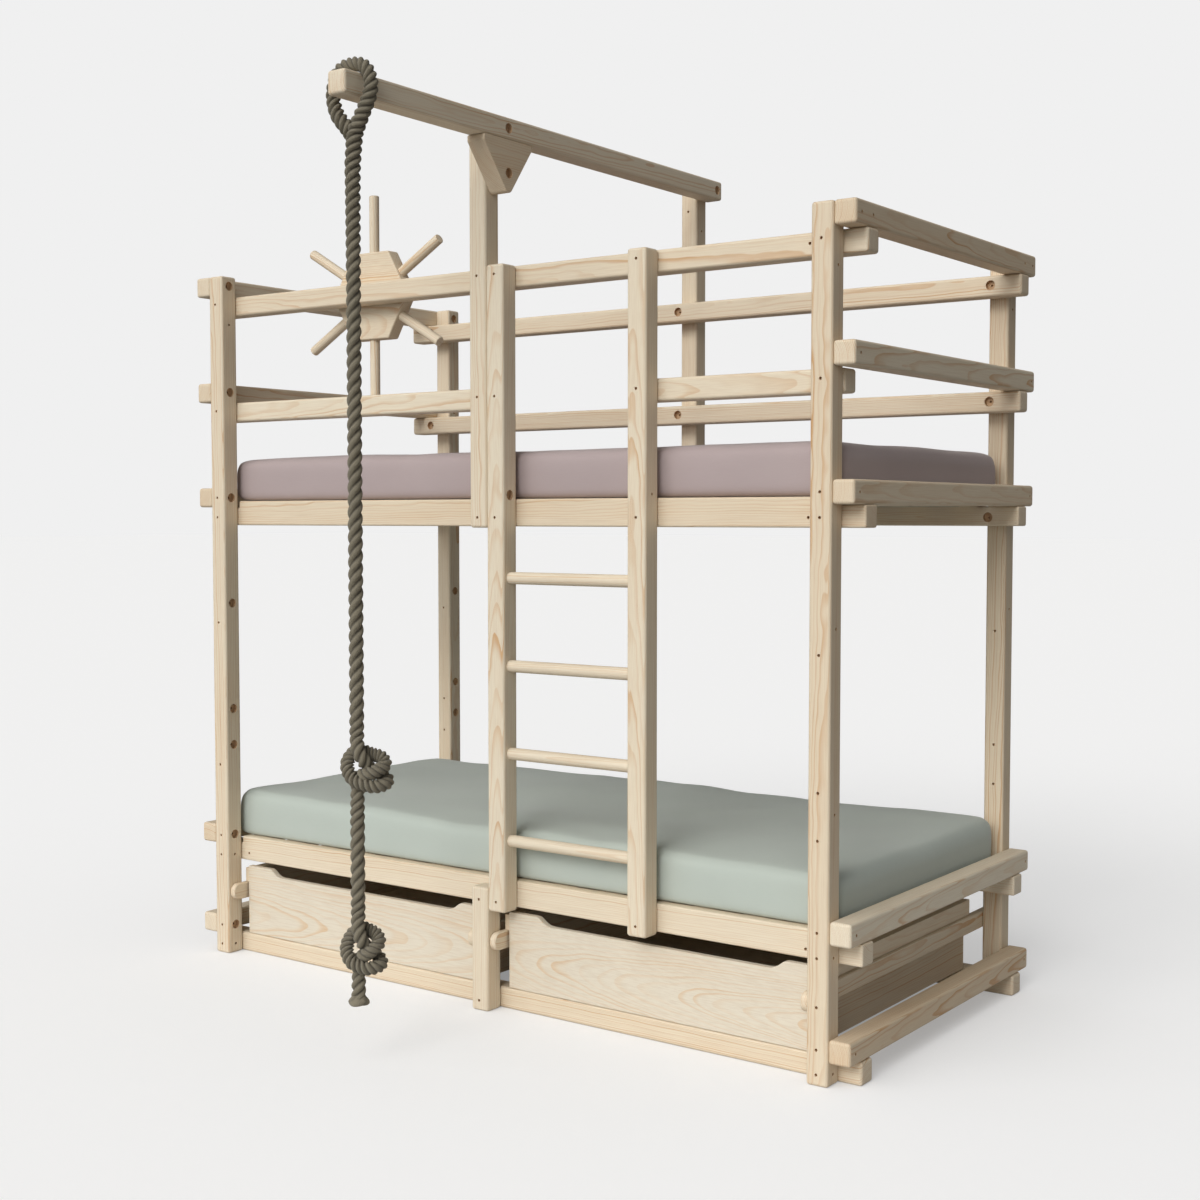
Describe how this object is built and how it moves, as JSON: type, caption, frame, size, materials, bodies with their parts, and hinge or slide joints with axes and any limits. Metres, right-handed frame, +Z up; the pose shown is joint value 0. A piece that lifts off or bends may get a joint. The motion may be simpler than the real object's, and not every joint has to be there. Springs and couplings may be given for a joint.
{
  "type": "bunk bed",
  "caption": "Pine bunk bed with ladder, guard rails, under-bed drawers, a toy steering wheel and a knotted climbing rope on a swing beam.",
  "frame": {"origin": "on the floor, under the middle of the box round the timber, mattresses and wheel (the rope is left out of that box)", "axes": "+X along the bed to the right as seen from the ladder side, +Y towards the back (the ladder side faces -Y), +Z up"},
  "size_m": [2.13, 1.5886, 2.3076],
  "materials": {
    "pine": "satin",
    "fabric_mauve": "matte",
    "fabric_sage": "matte",
    "rope": "matte",
    "steel": "satin"
  },
  "bodies": {
    "frame": {"beam_gusset": "pine", "divider_post_back": "pine", "divider_post_front": "pine", "drawer_guide_left_inner": "pine", "drawer_guide_left_outer": "pine", "drawer_guide_right_inner": "pine", "drawer_guide_right_outer": "pine", "end_rail_left_bed": "pine", "end_rail_left_bottom": "pine", "end_rail_left_low": "pine", "end_rail_left_mid": "pine", "end_rail_left_top": "pine", "end_rail_right_bed": "pine", "end_rail_right_bottom": "pine", "end_rail_right_low": "pine", "end_rail_right_mid": "pine", "end_rail_right_top": "pine", "ladder_rung_1": "pine", "ladder_rung_2": "pine", "ladder_rung_3": "pine", "ladder_rung_4": "pine", "ladder_upright_left": "pine", "ladder_upright_right": "pine", "mattress_lower": "fabric_sage", "mattress_upper": "fabric_mauve", "post_back_left": "pine", "post_back_right": "pine", "post_front_left": "pine", "post_front_right": "pine", "rail_back_bottom": "pine", "rail_back_mid": "pine", "rail_back_top": "pine", "rail_front_bottom": "pine", "rail_front_mid_left": "pine", "rail_front_mid_right": "pine", "rail_front_top": "pine", "rope_eye": "rope", "side_rail_back_lower": "pine", "side_rail_back_upper": "pine", "side_rail_front_lower": "pine", "side_rail_front_upper": "pine", "slatted_base_lower": "pine", "slatted_base_upper": "pine", "swing_beam": "pine", "swing_post_back": "pine", "swing_post_front": "pine", "wheel_axle": "steel"},
    "wheel": {"wheel_hub": "pine", "wheel_handle_1": "pine", "wheel_handle_2": "pine", "wheel_handle_3": "pine", "wheel_handle_4": "pine", "wheel_handle_5": "pine", "wheel_handle_6": "pine"},
    "drawer_left": {"drawer_left_front": "pine", "drawer_left_box": "pine"},
    "drawer_right": {"drawer_right_front": "pine", "drawer_right_box": "pine"},
    "rope": {"rope_line": "rope"}
  },
  "joints": [
    {"name": "wheel_turn", "type": "hinge", "parent": "frame", "child": "wheel", "pos_m": [-0.4812, -0.11025, 1.8802], "axis": [0, 1, 0], "continuous": true},
    {"name": "drawer_left_slide", "type": "slide", "parent": "frame", "child": "drawer_left", "axis": [0, -1, 0], "range_m": [0, 0.45]},
    {"name": "drawer_right_slide", "type": "slide", "parent": "frame", "child": "drawer_right", "axis": [0, -1, 0], "range_m": [0, 0.45]},
    {"name": "rope_swing", "type": "hinge", "parent": "frame", "child": "rope", "pos_m": [0.0543, -0.74225, 2.1093], "axis": [0, 1, 0], "range_deg": [-35, 35]}
  ]
}
